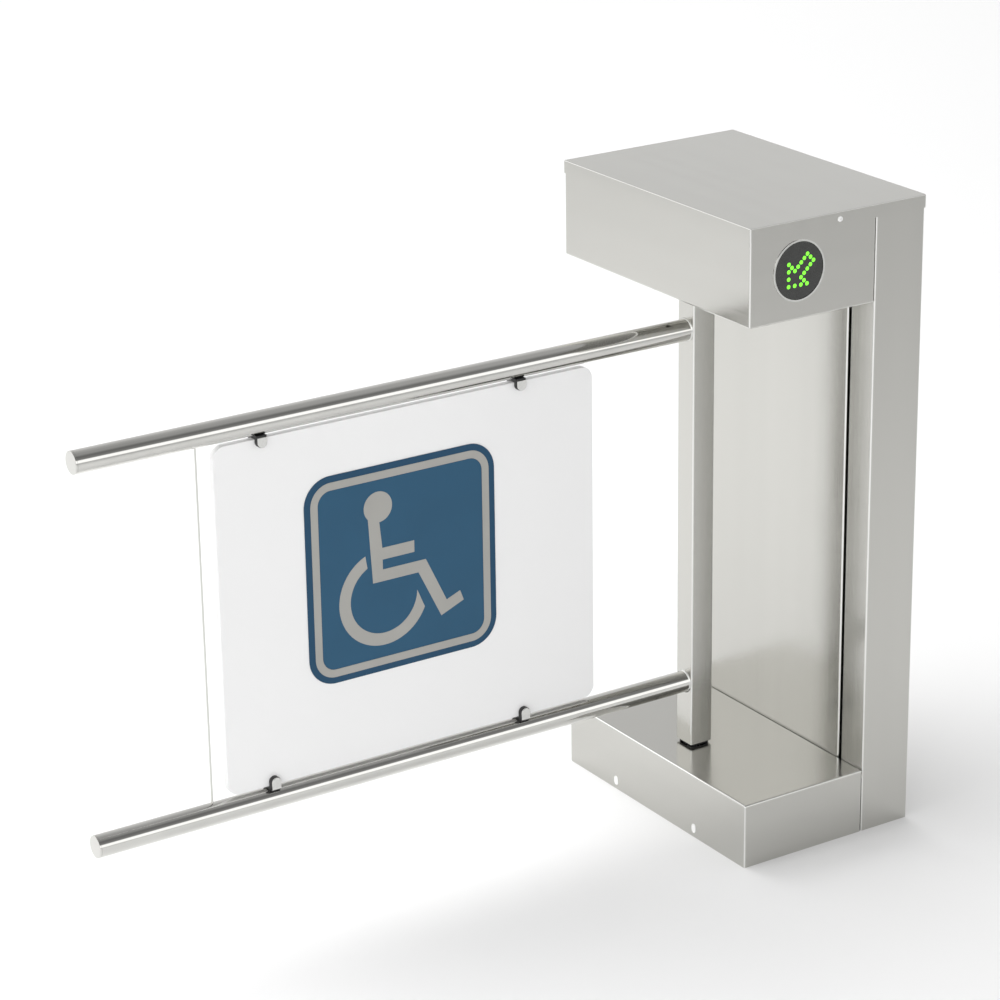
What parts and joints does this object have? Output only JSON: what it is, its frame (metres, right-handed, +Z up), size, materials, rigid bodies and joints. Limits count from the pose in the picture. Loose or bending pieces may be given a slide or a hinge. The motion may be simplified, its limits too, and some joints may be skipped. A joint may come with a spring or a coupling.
{
  "type": "motorised swing gate",
  "caption": "Wheelchair-accessible swing gate: C-shaped stainless cabinet with a square swing post, bars, an infill panel with an access sign and direction indicators.",
  "frame": {"origin": "on the floor, at the centre of the cabinet's footprint and of its four floor anchors", "axes": "+Z up; the gate at rest points along -X, square to the cabinet's front; Y along the cabinet's front"},
  "size_m": [1.2725, 0.475, 1],
  "materials": {
    "brushed_stainless": "fine brushed grain, satin",
    "polished_stainless": "polished tube, sharp highlight",
    "screw_stainless": "turned, semi-bright",
    "white_nylon": "moulded nylon",
    "frame_steel": "dark grey powder coat",
    "zinc_steel": "zinc plated",
    "ground_steel": "ground and lightly oiled",
    "cast_housing": "cast, machined on its seats",
    "gearbox_aluminium": "die cast",
    "motor_enamel": "black enamel, semi-gloss",
    "black_rubber": "matt moulded",
    "black_plastic": "moulded, matt",
    "circuit_board": "solder mask",
    "smoked_lens": "smoked, glossy",
    "led_green": "lit",
    "panel_acrylic": "satin, light grey",
    "sign_blue": "printed, satin",
    "sign_grey": "printed, satin"
  },
  "bodies": {
    "cabinet": {"column_shell": "brushed_stainless", "column_front_panel": "brushed_stainless", "base_cover": "brushed_stainless", "head_cover": "brushed_stainless", "lid": "brushed_stainless", "lid_screws": "white_nylon", "floor_plate": "frame_steel", "base_rivets": "white_nylon", "cable_grommet": "black_rubber", "frame_upright_right": "frame_steel", "frame_upright_left": "frame_steel", "head_beam": "frame_steel", "lower_pedestal": "frame_steel", "panel_brackets": "frame_steel", "lower_bearing_housing": "cast_housing", "upper_bearing_housing": "cast_housing", "lower_bearing_outer_ring": "ground_steel", "upper_bearing_outer_ring": "ground_steel", "lower_bearing_balls": "ground_steel", "upper_bearing_balls": "ground_steel", "housing_bolts": "zinc_steel", "gearbox": "gearbox_aluminium", "gearbox_bolts": "zinc_steel", "motor_can": "motor_enamel", "encoder_body": "motor_enamel", "stop_studs": "zinc_steel", "stop_bumpers": "black_rubber", "mounting_plate": "zinc_steel", "power_supply": "zinc_steel", "control_board": "circuit_board", "board_standoffs": "zinc_steel", "board_components": "black_plastic", "terminal_block": "black_plastic", "indicator_bezels": "screw_stainless", "indicator_lenses": "smoked_lens", "indicator_leds": "led_green", "indicator_backs": "black_plastic"},
    "gate": {"post_tube": "brushed_stainless", "lower_journal": "ground_steel", "upper_journal": "ground_steel", "post_collars": "black_plastic", "lower_bearing_inner_ring": "ground_steel", "upper_bearing_inner_ring": "ground_steel", "shaft_spacer": "ground_steel", "stop_arm": "ground_steel", "drive_gear": "ground_steel", "shaft_nut": "ground_steel", "upper_bar": "polished_stainless", "lower_bar": "polished_stainless", "bar_caps": "polished_stainless", "tie_rod": "polished_stainless", "infill_panel": "panel_acrylic", "upper_clamps": "black_plastic", "lower_clamps": "black_plastic", "clamp_plates": "polished_stainless", "clamp_screws": "screw_stainless", "sign_plate": "sign_blue", "sign_graphics": "sign_grey"},
    "motor_shaft": {"motor_pinion": "ground_steel"},
    "encoder_shaft": {"encoder_pinion": "ground_steel"}
  },
  "joints": [
    {"name": "gate_swing", "type": "hinge", "parent": "cabinet", "child": "gate", "pos_m": [-0.08, 0, 0.5], "axis": [0, 0, 1], "range_deg": [-90, 90]},
    {"name": "motor_pinion_spin", "type": "hinge", "parent": "cabinet", "child": "motor_shaft", "pos_m": [0, 0, 0.925], "axis": [0, 0, 1], "range_deg": [-272, 272]},
    {"name": "encoder_spin", "type": "hinge", "parent": "cabinet", "child": "encoder_shaft", "pos_m": [-0.04, 0.06928, 0.925], "axis": [0, 0, 1], "range_deg": [-272, 272]}
  ],
  "couplings": [
    {"joint": "motor_pinion_spin", "follows": "gate_swing", "ratio": -3},
    {"joint": "encoder_spin", "follows": "gate_swing", "ratio": -3}
  ]
}
